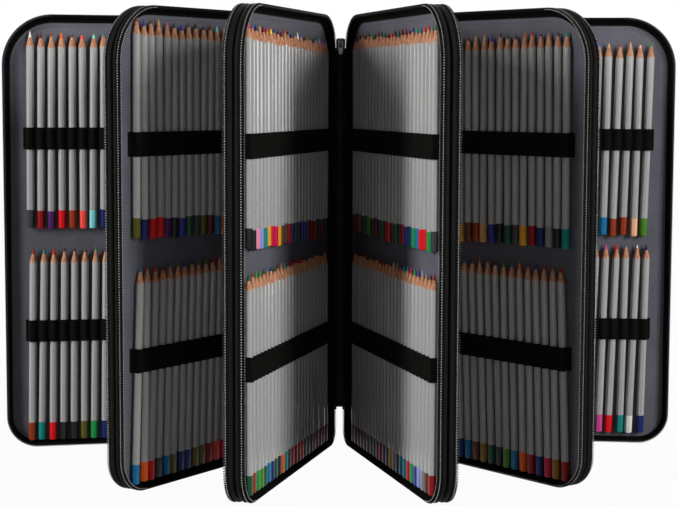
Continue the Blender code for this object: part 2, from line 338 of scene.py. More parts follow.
@dataclass
class Shape:
    """A mesh in the making: points, faces and what each face carries."""

    points: list = field(default_factory=list)
    faces: list = field(default_factory=list)
    finishes: list = field(default_factory=list)
    runs: list = field(default_factory=list)
    tints: list = field(default_factory=list)

    def skin(
        self,
        rings: np.ndarray,
        finishes: list[int],
        around: bool,
        section_closed: bool,
        run: np.ndarray | None = None,
        across: np.ndarray | None = None,
    ) -> None:
        """Skins a grid of points.

        Args:
            rings: Array of (section points, path points, 3).
            finishes: Finish number of each band between two section points.
            around: True where the path closes on itself.
            section_closed: True where the last section point joins the first.
            run: Lengths along the path, one more than the points where it closes.
            across: Lengths across the section, one more than the points where it closes.
        """
        first = len(self.points)
        count, steps = rings.shape[:2]
        self.points.extend(rings.reshape(-1, 3).tolist())
        bands = count if section_closed else count - 1
        cells = steps if around else steps - 1
        run = np.arange(cells + 1) * MM if run is None else run
        across = np.arange(bands + 1) * MM if across is None else across
        for i in range(bands):
            low, high = across[i], across[i + 1]
            for j in range(cells):
                a, b = first + i * steps, first + (i + 1) % count * steps
                k = (j + 1) % steps
                self.faces.append((a + j, a + k, b + k, b + j))
                self.finishes.append(finishes[i])
                self.runs.append(((run[j], low), (run[j + 1], low), (run[j + 1], high), (run[j], high)))

    def cap(self, ring: list[int]) -> None:
        """Closes a ring of point numbers with one face."""
        self.faces.append(tuple(ring))
        self.finishes.append(0)
        self.runs.append(tuple((self.points[i][0], self.points[i][2]) for i in ring))

    def stack(self, rings: np.ndarray) -> None:
        """Skins closed rings laid one on another, and caps the first and the last."""
        first, count = len(self.points), rings.shape[1]
        self.skin(rings, [0] * len(rings), True, False)
        self.cap([first + i for i in range(count)])
        self.cap([len(self.points) - 1 - i for i in range(count)])

    def sweep(
        self, rings: np.ndarray, run: np.ndarray | None = None, across: np.ndarray | None = None
    ) -> None:
        """Skins a closed section along an open path and caps both ends.

        Args:
            rings: Array of (section points, path points, 3).
            run: Lengths along the path.
            across: Lengths across the section.
        """
        first = len(self.points)
        count, steps = rings.shape[:2]
        self.skin(rings, [0] * count, False, True, run, across)
        self.cap([first + i * steps for i in range(count)])
        self.cap([first + i * steps + steps - 1 for i in reversed(range(count))])

    def object(self, name: str, finishes: list[bpy.types.Material], smooth_to: float) -> Object:
        """Makes the finished object, its faces turned outwards.

        Args:
            name: Name of the piece.
            finishes: Materials, in the order of the finish numbers.
            smooth_to: Edges sharper than this, in degrees, stay sharp.

        Returns:
            The object, at the origin, in the scene.
        """
        mesh = bpy.data.meshes.new(name)
        mesh.from_pydata(self.points, [], self.faces)
        for material in finishes:
            mesh.materials.append(material)
        mesh.polygons.foreach_set("material_index", self.finishes)
        layer = mesh.uv_layers.new(name="run")
        layer.data.foreach_set("uv", [c for corners in self.runs for pair in corners for c in pair])
        if len(self.tints):
            colours = mesh.color_attributes.new("tint", "FLOAT_COLOR", "POINT")
            colours.data.foreach_set("color", np.asarray(self.tints, float).ravel())
        work = bmesh.new()
        work.from_mesh(mesh)
        bmesh.ops.recalc_face_normals(work, faces=work.faces)
        work.to_mesh(mesh)
        work.free()
        return link(name, mesh, smooth_to)


@dataclass
class PathRepeater:
    """Geometry Nodes tree that repeats one small shape along a path, square to the path."""

    name: str
    seed: int = 11
    tree: Tree = field(init=False)

    def __post_init__(self) -> None:
        """Builds the tree with its named inputs."""
        tree = self.tree = bpy.data.node_groups.new(self.name, "GeometryNodeTree")
        kinds = {"Path": "Geometry", "Shape": "Object", "Finish": "Material"}
        for name in ("Path", "Pitch", "Shape", "Finish", "Slant", "Unevenness"):
            kind = f"NodeSocket{kinds.get(name, 'Float')}"
            tree.interface.new_socket(name=name, in_out="INPUT", socket_type=kind)
        tree.interface.new_socket(name="Pieces", in_out="OUTPUT", socket_type="NodeSocketGeometry")

        def then(kind: str, inputs: dict | None = None, **settings: object) -> Socket:
            """First output of a new node."""
            return add(tree, kind, inputs, **settings).outputs[0]

        given = add(tree, "NodeGroupInput").outputs
        curve = then("GeometryNodeMeshToCurve", {"Mesh": given["Path"]})
        spaced = then("GeometryNodeResampleCurve", {"Curve": curve, "Length": given["Pitch"]}, mode="LENGTH")
        least = then("ShaderNodeMath", {0: given["Unevenness"], 1: -1.0}, operation="MULTIPLY")
        # The float sockets of Random Value are the second pair, and so is its float output
        range_of_floats = {2: least, 3: given["Unevenness"], "Seed": self.seed}
        wander = add(tree, "FunctionNodeRandomValue", range_of_floats, data_type="FLOAT").outputs[1]
        slant = then("ShaderNodeMath", {0: given["Slant"], 1: wander}, operation="ADD")
        twist = then("ShaderNodeCombineXYZ", {"Z": slant})
        tangent = then("GeometryNodeInputTangent")
        aligned = then("FunctionNodeAlignEulerToVector", {"Vector": tangent}, axis="X", pivot_axis="Z")
        turned = then("FunctionNodeRotateEuler", {"Rotation": aligned, "Rotate By": twist}, space="LOCAL")
        shape = add(tree, "GeometryNodeObjectInfo", {"Object": given["Shape"]}).outputs["Geometry"]
        placing = {"Points": spaced, "Instance": shape, "Rotation": turned}
        solid = then("GeometryNodeRealizeInstances", {0: then("GeometryNodeInstanceOnPoints", placing)})
        finished = then("GeometryNodeSetMaterial", {"Geometry": solid, "Material": given["Finish"]})
        add(tree, "NodeGroupOutput", {0: finished})

    def run(
        self,
        path: np.ndarray,
        closed: bool,
        shape: Object,
        finish: bpy.types.Material,
        pitch: float,
        slant: float = 0.0,
        unevenness: float = 0.0,
    ) -> Mesh:
        """Repeats the shape along a path and bakes the result.

        Args:
            path: Rows of (reach, height, rise).
            closed: True where the path ends where it starts.
            shape: Object whose x runs along the path and whose y points to its left.
            finish: Material of the repeated shape.
            pitch: Spacing along the path in metres.
            slant: Turn of each shape about the rise, in radians.
            unevenness: Most that a shape turns more or less than that, in radians.

        Returns:
            One plain mesh in the path's own coordinates.
        """
        line = bpy.data.meshes.new(f"{self.name}_path")
        edges = [(i, i + 1) for i in range(len(path) - 1)] + [(len(path) - 1, 0)] * closed
        line.from_pydata(path.tolist(), edges, [])
        carrier = in_scene(line.name, line)
        modifier = carrier.modifiers.new("repeat", "NODES")
        modifier.node_group = self.tree
        values = {"Pitch": pitch, "Shape": shape, "Finish": finish, "Slant": slant, "Unevenness": unevenness}
        for item in self.tree.interface.items_tree:
            if item.in_out == "INPUT" and item.name in values:
                modifier[item.identifier] = values[item.name]
        mesh = baked(carrier)
        bpy.data.objects.remove(carrier, do_unlink=True)
        return mesh


def place_on_side(mesh: Mesh, side: Side) -> None:
    """Moves a mesh from a side's own coordinates to the world, and keeps its faces pointing out."""
    points = np.empty(len(mesh.vertices) * 3)
    mesh.vertices.foreach_get("co", points)
    mesh.vertices.foreach_set("co", side.world(points.reshape(-1, 3)).ravel())
    if side.turned:
        mesh.flip_normals()
    mesh.update()


# ---------------------------------------------------------------- finishes


@dataclass
class Wiring:
    """The node tree of one material, with the nodes that its finish needs, by what they do."""

    tree: Tree

    @cached_property
    def place(self) -> Socket:
        """Position in the piece's own coordinates."""
        return add(self.tree, "ShaderNodeTexCoord").outputs["Object"]

    @cached_property
    def run(self) -> Socket:
        """Lengths along and across the piece."""
        return add(self.tree, "ShaderNodeUVMap", uv_map="run").outputs[0]

    def noise(self, size: float, detail: float, upwards: float = 1.0, **more: float) -> Socket:
        """Noise over the piece.

        Args:
            size: Size of its features in metres.
            detail: Octaves of finer noise.
            upwards: Share of the scale that is kept upwards; less than 1 draws the features out.
            **more: Other inputs of the node.

        Returns:
            Its value, 0 to 1.
        """
        place = self.place
        if upwards != 1.0:
            scaled = {"Vector": place, "Scale": (1.0, 1.0, upwards)}
            place = add(self.tree, "ShaderNodeMapping", scaled).outputs[0]
        inputs = {"Vector": place, "Scale": per(size), "Detail": detail, **more}
        return add(self.tree, "ShaderNodeTexNoise", inputs).outputs["Fac"]

    def bands(self, period: float, way: str, distortion: float, detail: float = 1.0) -> Socket:
        """Soft bands over the piece's run.

        Args:
            period: Distance from band to band in metres.
            way: X for bands across the run, Y for bands along it, or DIAGONAL.
            distortion: How far they wander.
            detail: Octaves of that wandering.

        Returns:
            Their value, 0 to 1.
        """
        inputs = {"Vector": self.run, "Scale": wave_per(period), "Distortion": distortion, "Detail": detail}
        return add(self.tree, "ShaderNodeTexWave", inputs, bands_direction=way).outputs["Fac"]

    def calc(self, operation: str, *values: Socket | float) -> Socket:
        """Result of one Math node."""
        return add(self.tree, "ShaderNodeMath", dict(enumerate(values)), operation=operation).outputs[0]

    def remap(
        self,
        value: Socket,
        low: float = 0.0,
        high: float = 1.0,
        to_low: float = 0.0,
        to_high: float = 1.0,
    ) -> Socket:
        """Maps the range low to high onto to_low to to_high, and holds the value within it."""
        inputs = {"Value": value, "From Min": low, "From Max": high, "To Min": to_low, "To Max": to_high}
        return add(self.tree, "ShaderNodeMapRange", inputs).outputs[0]

    def tone(self, share: Socket, dark: str, light: str) -> Socket:
        """A colour between two sRGB hex tones."""
        inputs = {0: share, 6: linear(dark), 7: linear(light)}
        return add(self.tree, "ShaderNodeMix", inputs, data_type="RGBA").outputs[2]

    def bump(self, height: Socket, strength: float, depth: float) -> Socket:
        """A normal bent by a height, for relief too fine for the mesh."""
        inputs = {"Height": height, "Strength": strength, "Distance": depth}
        return add(self.tree, "ShaderNodeBump", inputs).outputs[0]


def seen_rays(tree: Tree) -> Socket:
    """1 for the rays that the background has to be white to: camera, glossy and transmission rays."""
    wires = Wiring(tree)
    rays = add(tree, "ShaderNodeLightPath").outputs
    seen = wires.calc("ADD", rays["Is Camera Ray"], rays["Is Glossy Ray"])
    seen = wires.calc("ADD", seen, rays["Is Transmission Ray"])
    seen.node.use_clamp = True
    return seen


@dataclass(frozen=True)
class Finish:
    """A surface finish: its material is made once and kept by name."""

    name: str

    def look(self, wires: Wiring) -> dict:
        """Adds the nodes of this finish.

        Args:
            wires: The material's nodes.

        Returns:
            Inputs of its Principled BSDF, each with a constant or an output socket.
        """
        raise NotImplementedError

    def finish_surface(self, tree: Tree) -> None:
        """Changes what reaches the material's surface output; most finishes leave it alone."""

    def material(self) -> bpy.types.Material:
        """Returns the material, made on the first call."""
        found = bpy.data.materials.get(self.name)
        if found:
            return found
        made = bpy.data.materials.new(self.name)
        made.use_nodes = True
        tree = made.node_tree
        plug(tree, tree.nodes["Principled BSDF"], self.look(Wiring(tree)))
        self.finish_surface(tree)
        return made


@dataclass(frozen=True)
class Leatherette(Finish):
    """Coated polyurethane cloth with a fine embossed grain, as on linings, covers and spine folds."""

    light: str = "62626a"
    dark: str = "54545c"
    grain: float = 2.0 * MM
    rough: float = 0.56
    duller: float = 0.14
    shine: float = 0.1

    def look(self, wires: Wiring) -> dict:
        """A cell pattern for the pebbled grain, and slow noise for the tone that handling leaves."""
        # The real grain is 0.7 mm across; it is drawn wider so that it shows
        cell = {"Vector": wires.place, "Scale": per(self.grain), "Randomness": 0.9}
        edges = add(wires.tree, "ShaderNodeTexVoronoi", cell, feature="DISTANCE_TO_EDGE").outputs["Distance"]
        pits = wires.remap(edges, high=0.22)
        fine = wires.noise(1.3 * MM, detail=2.0)
        handled = wires.calc("MULTIPLY", wires.noise(34 * MM, detail=3.0), fine)
        relief = wires.calc("MULTIPLY_ADD", fine, 0.35, pits)
        return {
            "Base Color": wires.tone(wires.remap(handled, low=0.12, high=0.42), self.dark, self.light),
            "Roughness": wires.remap(pits, to_low=self.rough + self.duller, to_high=self.rough),
            "Specular IOR Level": self.shine,
            "Normal": wires.bump(relief, strength=0.55, depth=0.12 * MM),
        }


@dataclass(frozen=True)
class WovenTape(Finish):
    """Polyester zip tape or nylon binding: yarns that cross, matt, with a soft sheen at the turn."""

    light: str = "121211"
    dark: str = "060606"
    yarn: float = 1.5 * MM
    rough: float = 0.78
    relief: float = 0.25 * MM
    shine: float = 0.05

    def look(self, wires: Wiring) -> dict:
        """Two crossed sets of bands along the piece's own run make the weave; noise lays lint on it."""
        # The real yarns are 0.4 mm apart; they are drawn wider so that they show
        warp = wires.bands(self.yarn, "X", distortion=1.2)
        weft = wires.bands(self.yarn * 0.8, "DIAGONAL", distortion=1.0)
        weave = wires.calc("MULTIPLY", warp, weft)
        shade = wires.calc("MULTIPLY", weave, wires.noise(7 * MM, detail=4.0))
        return {
            "Base Color": wires.tone(wires.remap(shade, high=0.45), self.dark, self.light),
            "Roughness": self.rough,
            # Cloth scatters its shine between the yarns, so its specular level is low
            "Specular IOR Level": self.shine,
            "Normal": wires.bump(weave, strength=0.6, depth=self.relief),
        }


@dataclass(frozen=True)
class KnittedElastic(Finish):
    """Knitted black elastic: fine ribs along the band, dead matt with a slight sheen."""

    light: str = "141412"
    dark: str = "060605"
    rib: float = 1.5 * MM
    loop: float = 1.3 * MM

    def look(self, wires: Wiring) -> dict:
        """Bands across the width make the ribs; a finer set along the run makes the stitches."""
        ribs = wires.bands(self.rib, "Y", distortion=0.3, detail=2.0)
        # The real stitches are 0.5 mm apart; they are drawn wider so that they show
        loops = wires.bands(self.loop, "X", distortion=0.8)
        knit = wires.calc("MULTIPLY_ADD", loops, 0.35, ribs)
        return {
            "Base Color": wires.tone(knit, self.dark, self.light),
            "Roughness": 0.85,
            "Specular IOR Level": 0.03,
            "Normal": wires.bump(knit, strength=0.7, depth=0.3 * MM),
        }


@dataclass(frozen=True)
class MouldedCoil(Finish):
    """Extruded nylon zip coil: plain black with a low sheen that shows each loop's round."""

    colour: str = "060606"

    def look(self, wires: Wiring) -> dict:
        """Noise varies the gloss from loop to loop, as rubbing does."""
        rub = wires.noise(3 * MM, detail=2.0)
        return {
            "Base Color": linear(self.colour),
            "Roughness": wires.remap(rub, low=0.3, high=0.7, to_low=0.3, to_high=0.42),
            "Specular IOR Level": 0.12,
        }


@dataclass(frozen=True)
class SilverLacquer(Finish):
    """Sprayed silver-grey lacquer on a hexagonal barrel: satin, with aluminium flake."""

    light: str = "a8a8a7"
    dark: str = "989897"

    def look(self, wires: Wiring) -> dict:
        """Noise drawn out along the barrel gives the faint streaks of the lacquering."""
        streaks = wires.noise(2.4 * MM, detail=3.0, upwards=0.015)
        mixed = wires.calc("ADD", streaks, wires.noise(0.8 * MM, detail=1.0))
        return {
            "Base Color": wires.tone(wires.remap(mixed, low=0.7, high=1.3), self.dark, self.light),
            "Roughness": wires.remap(streaks, to_low=0.15, to_high=0.22),
            # The photograph's barrels mirror little of the white room, so the lacquer's own shine is low
            "Specular IOR Level": 0.25,
        }


@dataclass(frozen=True)
class SharpenedCedar(Finish):
    """Incense cedar cut by a sharpener: warm orange-brown with growth lines along the grain."""

    light: str = "cb9876"
    dark: str = "9f6444"

    def look(self, wires: Wiring) -> dict:
        """Noise squeezed across the barrel draws the growth lines, which run along it."""
        grain = wires.noise(1.1 * MM, detail=3.0, upwards=0.12, Roughness=0.6)
        return {
            "Base Color": wires.tone(wires.remap(grain, low=0.35, high=0.65), self.dark, self.light),
            "Roughness": 0.62,
            "Specular IOR Level": 0.15,
            "Normal": wires.bump(grain, strength=0.3, depth=0.1 * MM),
        }


@dataclass(frozen=True)
class TintedCore(Finish):
    """What takes each pencil's own colour: the waxy lead, or the enamel of the dipped end."""

    rough: float = 0.4
    coat: float = 0.0
    mottle: float = 0.12

    def look(self, wires: Wiring) -> dict:
        """The colour comes from the pencil's tint; noise mottles it slightly."""
        tint = add(wires.tree, "ShaderNodeAttribute", attribute_name="tint", attribute_type="GEOMETRY")
        wax = wires.noise(1.6 * MM, detail=3.0)
        level = wires.remap(wax, to_low=1.0 - self.mottle, to_high=1.0 + self.mottle)
        scaled = {0: tint.outputs["Color"], "Scale": level}
        return {
            "Base Color": add(wires.tree, "ShaderNodeVectorMath", scaled, operation="SCALE").outputs[0],
            "Roughness": wires.remap(wax, to_low=self.rough - 0.06, to_high=self.rough + 0.08),
            "Coat Weight": self.coat,
            "Coat Roughness": 0.08,
            "Specular IOR Level": 0.15,
        }


@dataclass(frozen=True)
class CastZinc(Finish):
    """Die-cast zinc, painted or plated: smooth, with fine rub marks where fingers take it."""

    light: str = "4a4846"
    dark: str = "2a2927"
    metal: float = 0.85
    rough: float = 0.3

    def look(self, wires: Wiring) -> dict:
        """Slow noise shifts the tone and the gloss between rubbed and dull places."""
        rub = wires.noise(2.5 * MM, detail=4.0)
        return {
            "Base Color": wires.tone(rub, self.dark, self.light),
            "Roughness": wires.remap(rub, to_low=self.rough - 0.1, to_high=self.rough + 0.16),
            "Metallic": self.metal,
        }


@dataclass(frozen=True)
class SewingThread(Finish):
    """Spun polyester thread: two plies twisted, matt."""

    # Default tones: dark grey, part of which is painted shade of the stitch holes
    light: str = "4a4a50"
    dark: str = "26262a"

    def look(self, wires: Wiring) -> dict:
        """Noise of the stitch's own size gives one tone a stitch."""
        ply = wires.noise(2.2 * MM, detail=1.0)
        return {"Base Color": wires.tone(ply, self.dark, self.light), "Roughness": 0.8}


@dataclass(frozen=True)
class StudioPaper(Finish):
    """White background paper: the camera and reflections see it white, and it keeps a soft shadow."""

    light: str = "a4a4a4"
    dark: str = "9c9c9c"
    glow: float = 0.965

    def look(self, wires: Wiring) -> dict:
        """Fine noise gives the paper its tooth."""
        tooth = wires.noise(4 * MM, detail=2.0)
        return {"Base Color": wires.tone(tooth, self.dark, self.light), "Roughness": 0.9}

    def finish_surface(self, tree: Tree) -> None:
        """Camera, glossy and transmission rays get most of their light from plain white."""
        share = Wiring(tree).calc("MULTIPLY", seen_rays(tree), self.glow)
        white = add(tree, "ShaderNodeEmission", {"Color": (1.0, 1.0, 1.0, 1.0), "Strength": 1.0})
        paper = tree.nodes["Principled BSDF"].outputs[0]
        both = add(tree, "ShaderNodeMixShader", {0: share, 1: paper, 2: white.outputs[0]})
        out = next(node for node in tree.nodes if node.type == "OUTPUT_MATERIAL")
        tree.links.new(both.outputs[0], out.inputs["Surface"])


LINING = Leatherette("lining_leatherette")
COVER_SKIN = Leatherette("cover_leatherette_black", light="262628", dark="161618", rough=0.84, shine=0.05)
FOLD_SKIN = Leatherette("spine_leatherette_black", light="1c1b1c", dark="0f0f10", rough=0.5, grain=1.6 * MM)
TAPE = WovenTape("zip_tape_woven_black")
BINDING = WovenTape(
    "edge_binding_nylon_black",
    light="191918",
    dark="080808",
    yarn=1.9 * MM,
    rough=0.6,
    relief=0.3 * MM,
    shine=0.06,
)
ELASTIC = KnittedElastic("elastic_knitted_black")
COIL = MouldedCoil("zip_coil_nylon_black")
LACQUER = SilverLacquer("pencil_lacquer_silver")
CEDAR = SharpenedCedar("pencil_cedar_cut")
LEAD = TintedCore("pencil_lead_waxy", rough=0.46)
ENAMEL = TintedCore("pencil_end_enamel", rough=0.42, coat=0.02, mottle=0.06)
SLIDER_METAL = CastZinc("slider_zinc_blackened")
PULL_METAL = CastZinc("pull_zinc_cream", light="f6f0e4", dark="e4dccb", metal=0.0, rough=0.36)
# Lining thread: its dark grey is partly painted shade of the stitch holes
THREAD_WITH_PAINTED_SHADE = SewingThread("lining_thread_grey")
# Pale pads over the coil loops: painted glints standing in for the highlights on the loops' rounds
ZIP_GLINT_THREAD = SewingThread("zip_thread_pale", light="cfcfcb", dark="8c8c89")
PAPER = StudioPaper("studio_paper_white")


# ---------------------------------------------------------------- zips


# Section of the tape: inset mm, depth mm, share of the lap's growth, finish number of the band after it
TAPE_SECTION = (
    (2.9, 1.75, 0, 0),
    (2.1, 1.55, 0, 0),
    (1.5, 1.50, 0, 0),
    (1.15, 1.75, 0, 0),
    (1.05, 2.6, 0, 0),
    (1.00, 3.6, 0, 0),
    (0.95, 4.3, 0, 0),
    (0.70, 4.75, 0, 0),
    (0.68, 5.25, 0, 1),
    (0.30, 5.50, 0, 1),
    (0.12, 6.0, 0, 1),
    (0.22, 6.7, 0, 1),
    (0.75, 7.5, 0, 1),
    (1.70, 8.2, 0, 1),
    (3.10, 8.68, 0, 1),
    (4.20, 8.75, 0, 0),
    (5.28, 8.75, 0, 0),
    (5.28, 8.15, 0, 2),
    (5.62, 8.14, 1, 2),
    (5.60, 7.80, 1, 2),
    (5.25, 7.72, 1, 0),
    (4.85, 7.70, 0.6, 0),
    (4.2, 6.0, 0.1, 0),
    (3.3, 3.6, 0, 0),
)


@dataclass
class ZipHalf:
    """One half of a compartment's zip: the woven tape with its binding, and the coil along it."""

    side: Side
    repeater: PathRepeater
    tooth: Object
    # Pads over each coil loop; in pale thread they paint the coil's glints
    stitch: Object
    pitch: float = 2.0 * MM
    lap_top: float = 2.1 * MM
    coil_low: float = 30 * MM
    coil_high: float = 344 * MM
    # From this reach outwards the pads run; on the dividers their pale tone paints the coil's glints there
    glint_and_stitch_from: float = 214 * MM
    slant: float = 0.22
    unevenness: float = 0.04

    def build_tape(self) -> Object:
        """Sweeps the tape's section round the rim; its lap over the lining widens towards the top."""
        rim, inward = OUTLINE.rim()
        growth = self.lap_top * np.clip(rim[:, 1] / OUTLINE.height, 0, 1) ** 2
        rings = []
        for inset, depth, share, _ in TAPE_SECTION:
            line = rim + inward * (inset * MM + share * growth)[:, None]
            rings.append(raised(line, -depth * MM))
        across = lengths(np.array(TAPE_SECTION)[:, :2] * MM, closed=True)
        run = lengths(rim, closed=True)
        shape = Shape()
        shape.skin(self.side.grid(rings), [row[3] for row in TAPE_SECTION], True, True, run, across)
        materials = [finish.material() for finish in (TAPE, BINDING, LINING)]
        return shape.object(f"zip_tape_{self.side.label}", materials, smooth_to=55)

    def coil_path(self) -> np.ndarray:
        """Line of the coil, from the foot of the spine fold round the outer end to its top."""
        rim, _ = OUTLINE.rim()
        spine = OUTLINE.hinge_reach
        rim = rim[rim[:, 0] > spine + 1e-6]
        line = np.vstack(((spine, self.coil_low), rim, (spine, self.coil_high)))
        return raised(line, 0.0)

    def repeat(self, name: str, path: np.ndarray, shape: Object, finish: Finish) -> Object:
        """Repeats a small shape at the coil's pitch and slant.

        Args:
            name: Name of the piece.
            path: Rows of (reach, height, rise).
            shape: The shape to repeat.
            finish: Its finish.

        Returns:
            The piece, at its place.
        """
        material = finish.material()
        mesh = self.repeater.run(path, False, shape, material, self.pitch, self.slant, self.unevenness)
        place_on_side(mesh, self.side)
        return link(name, mesh, smooth_to=60)

    def build(self, node: str) -> list[Object]:
        """Builds the three pieces; the pale pads on the outer edge and corners are painted glints, the coil
        loops' highlights drawn as thread.

        Args:
            node: CAD node that they stand for.

        Returns:
            The tape, the coil and its stitching with painted glints, riding on the leaf.
        """
        label, path = self.side.label, self.coil_path()
        glint_and_stitch_path = path[path[:, 0] > self.glint_and_stitch_from]
        # Dark thread on the covers; on the dividers, pale pads that paint the coil's glints
        thread = THREAD_WITH_PAINTED_SHADE if self.side.on_cover else ZIP_GLINT_THREAD
        pieces = [
            self.build_tape(),
            self.repeat(f"zip_coil_{label}", path, self.tooth, COIL),
            self.repeat(f"zip_stitching_{label}", glint_and_stitch_path, self.stitch, thread),
        ]
        for piece in pieces:
            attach(piece, self.side.body)
            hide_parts(node)
        return pieces


def coil_tooth() -> Object:
    """One loop of the coil: it wraps over the rim and down the outside, thin where it is sewn.

    Returns:
        A helper object whose x runs along the zip, y inwards and z up from the rim plane.
    """
    # Inwards, up and radius, in mm
    stations = (
        (2.75, -1.15, 0.28),
        (2.05, -0.90, 0.55),
        (0.95, -0.85, 0.58),
        (0.48, -1.55, 0.40),
        (0.55, -2.75, 0.54),
        (0.78, -3.85, 0.26),
    )
    rings = []
    for index, (y, z, radius) in enumerate(stations):
        before = stations[max(index - 1, 0)]
        after = stations[min(index + 1, len(stations) - 1)]
        along = np.array((after[0] - before[0], after[1] - before[1]))
        along /= np.linalg.norm(along)
        circle = [(radius * across, radius * up) for across, up in turns(steps=5, start=0.5)]
        rings.append([(across, y - up * along[1], z + up * along[0]) for across, up in circle])
    shape = Shape()
    shape.stack(np.array(rings) * MM)
    return shape.object("coil_tooth", [COIL.material()], smooth_to=70)


def thread_pad(stations: tuple, wide: float, tall: float, tip: float = 0.0) -> np.ndarray:
    """Rings of a short rounded bar of thread.

    Args:
        stations: Rows of (place along the bar, share of its full section).
        wide: Half width of the section.
        tall: Half height of the section.
        tip: Turn of the bar about its own length, in radians.

    Returns:
        An array of (stations, points of the section, 3), with x along the bar.
    """
    c, s = math.cos(tip), math.sin(tip)
    rings = []
    for x, share in stations:
        ring = [(wide * share * across, tall * share * up) for across, up in turns(6)]
        rings.append([(x, across * c - up * s, across * s + up * c) for across, up in ring])
    return np.array(rings)


def coil_stitches() -> Object:
    """Pads over one loop of the coil, pale painted glints in place of its highlights: a short pad on the rim
    and another down its outside.

    Returns:
        A helper object in the same axes as coil_tooth.
    """
    stations = ((-0.4, 0.5), (-0.22, 1.0), (0.22, 1.0), (0.4, 0.5))
    shape = Shape()
    for y, z, tip in ((1.75, -0.34, 0.0), (0.06, -2.55, math.pi / 2)):
        pad = thread_pad(stations, wide=0.36, tall=0.2, tip=tip)
        shape.stack((pad + np.array((0.0, y, z))) * MM)
    return shape.object("coil_stitches", [ZIP_GLINT_THREAD.material()], smooth_to=70)


def lining_stitch() -> Object:
    """One lock stitch: a short rounded bar, lying along the seam."""
    stations = ((-1.05, 0.35), (-0.63, 1.0), (0.63, 1.0), (1.05, 0.35))
    shape = Shape()
    shape.stack(thread_pad(stations, wide=0.26, tall=0.22) * MM)
    return shape.object("lining_stitch", [THREAD_WITH_PAINTED_SHADE.material()], smooth_to=70)


# ---------------------------------------------------------------- pencils


class PencilColour(Enum):
    """Colours of a general artist's set."""

    BLACK = "1b1a1c"
    CHARCOAL = "38393e"
    SLATE = "465365"
    GREY = "7f8186"
    WHITE = "dedcd6"
    NAVY = "17245c"
    INDIGO = "37358a"
    BLUE = "2358b8"
    CYAN = "86d8dd"
    TEAL = "137f78"
    MINT = "7ad8c2"
    PERIWINKLE = "8890cf"
    GREEN = "1c8a44"
    DARK_GREEN = "1b4a33"
    OLIVE = "55531f"
    MOSS = "8c9c3a"
    YELLOW = "ecca38"
    AMBER = "dc9a2c"
    ORANGE = "e5601c"
    TAN = "c79b62"
    RUSSET = "8c3416"
    BROWN = "5b3623"
    MAROON = "56131c"
    DARK_RED = "8a1216"
    RED = "d6151c"
    CRIMSON = "c01440"
    CORAL = "f05048"
    PINK = "e68ea8"
    ROSE = "c5488c"
    PURPLE = "48205c"
    PEACH = "eab28c"
    OCEAN = "1a6a98"
    BRONZE = "876116"
    FERN = "437d20"


# Colours of the dipped ends and of the leads, from the outer end of the leaf towards the spine
DIPS = {
    "1_left_top": "charcoal dark_red purple red russet coral cyan navy",
    "1_left_bottom": "russet teal red black black olive green navy",
    "2_left_top": "olive navy red red purple black indigo dark_green charcoal olive maroon ocean",
    "2_left_bottom": "ocean orange red charcoal ocean olive navy navy olive olive dark_red",
    # Towards the spine the rows of compartment 3 run to black, maroon and dark red; part of that darkness is
    # painted shade of the deep compartment
    "3_left_top": "black black pink periwinkle teal amber crimson crimson amber brown brown dark_red"
    " navy charcoal black indigo indigo maroon maroon dark_red black maroon black black",
    "3_left_bottom": "dark_green russet green fern dark_green ocean navy dark_green black orange teal"
    " charcoal dark_red dark_red dark_red red charcoal charcoal maroon black maroon maroon black maroon",
    "3_right_top": "charcoal green red red ocean green navy navy dark_red black dark_green black red"
    " maroon dark_green black maroon black fern dark_green black russet black maroon",
    "3_right_bottom": "dark_red brown grey periwinkle indigo green crimson teal ocean black grey amber"
    " black navy dark_red maroon black black charcoal black maroon black maroon black",
    "4_right_top": "teal black grey navy dark_red amber charcoal dark_green black indigo tan russet",
    "4_right_bottom": "dark_red bronze crimson navy dark_red orange ocean fern black dark_green bronze"
    " brown ocean",
    "5_right_top": "fern peach russet russet ocean",
    "5_right_bottom": "navy white teal red rose",
}
TIPS = {
    "1_left_top": "white maroon russet orange brown coral mint teal",
    "2_left_top": "russet indigo maroon tan rose charcoal indigo charcoal black black maroon",
    "3_left_top": "red blue navy amber maroon red yellow navy black maroon red black navy slate white"
    " blue navy",
    "4_right_top": "teal charcoal grey navy red orange charcoal dark_green maroon indigo tan tan",
    "5_right_top": "green peach tan russet tan blue",
}


@dataclass(frozen=True)
class Stance:
    """How a row of pencils stands: lift in mm at its two ends, and lean in degrees towards the spine."""

    outer: float = 0.0
    spine: float = 0.0
    lean: float = 0.0


# The rows that the photograph shows out of line
STANCES = {
    "1_left_top": Stance(1.2, 1.2, 0.4),
    "1_left_bottom": Stance(0.0, 0.0, 1.2),
    "2_left_top": Stance(6.4, 0.7, 0.3),
    "2_left_bottom": Stance(0.0, 4.0, 2.5),
    "3_left_top": Stance(1.8, -4.5, 0.0),
    "4_right_top": Stance(-0.9, -4.3, 0.8),
    "4_right_bottom": Stance(0.0, 0.0, 2.6),
    "5_right_top": Stance(-5.2, -5.2, -1.2),
    "5_right_bottom": Stance(3.0, 3.0, -1.3),
}


